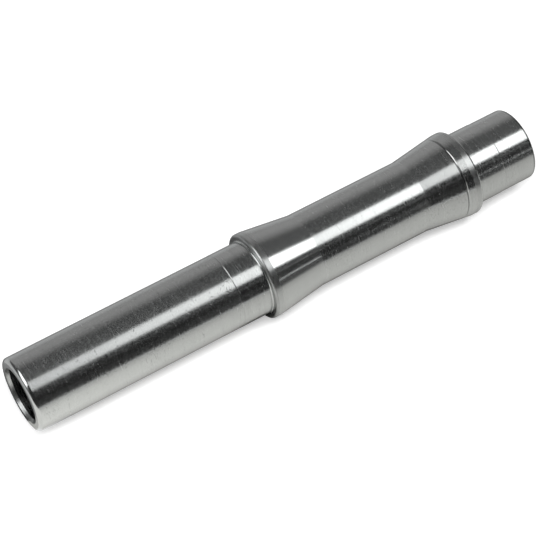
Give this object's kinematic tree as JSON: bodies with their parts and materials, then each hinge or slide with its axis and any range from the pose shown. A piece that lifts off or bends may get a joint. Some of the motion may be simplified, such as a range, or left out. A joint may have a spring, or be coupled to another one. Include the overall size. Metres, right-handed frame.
{
  "type": "hollow stepped shaft",
  "caption": "Hollow stepped shaft turned from one bar: long journal, two bearing seats against collars, flared waist and a straight through bore.",
  "frame": {"origin": "centre of the flat face of the short tail end, on which the shaft stands", "axes": "+Z along the shaft's axis, from the tail end up to the end of the long journal with the wide bore mouth; +X and +Y are any two directions square to it, since the part is turned"},
  "size_m": [0.02, 0.02, 0.1267],
  "materials": {
    "turned_steel": "fine turned and polished, fine lines round the axis"
  },
  "bodies": {
    "root": {"shaft": "turned_steel"}
  },
  "joints": []
}
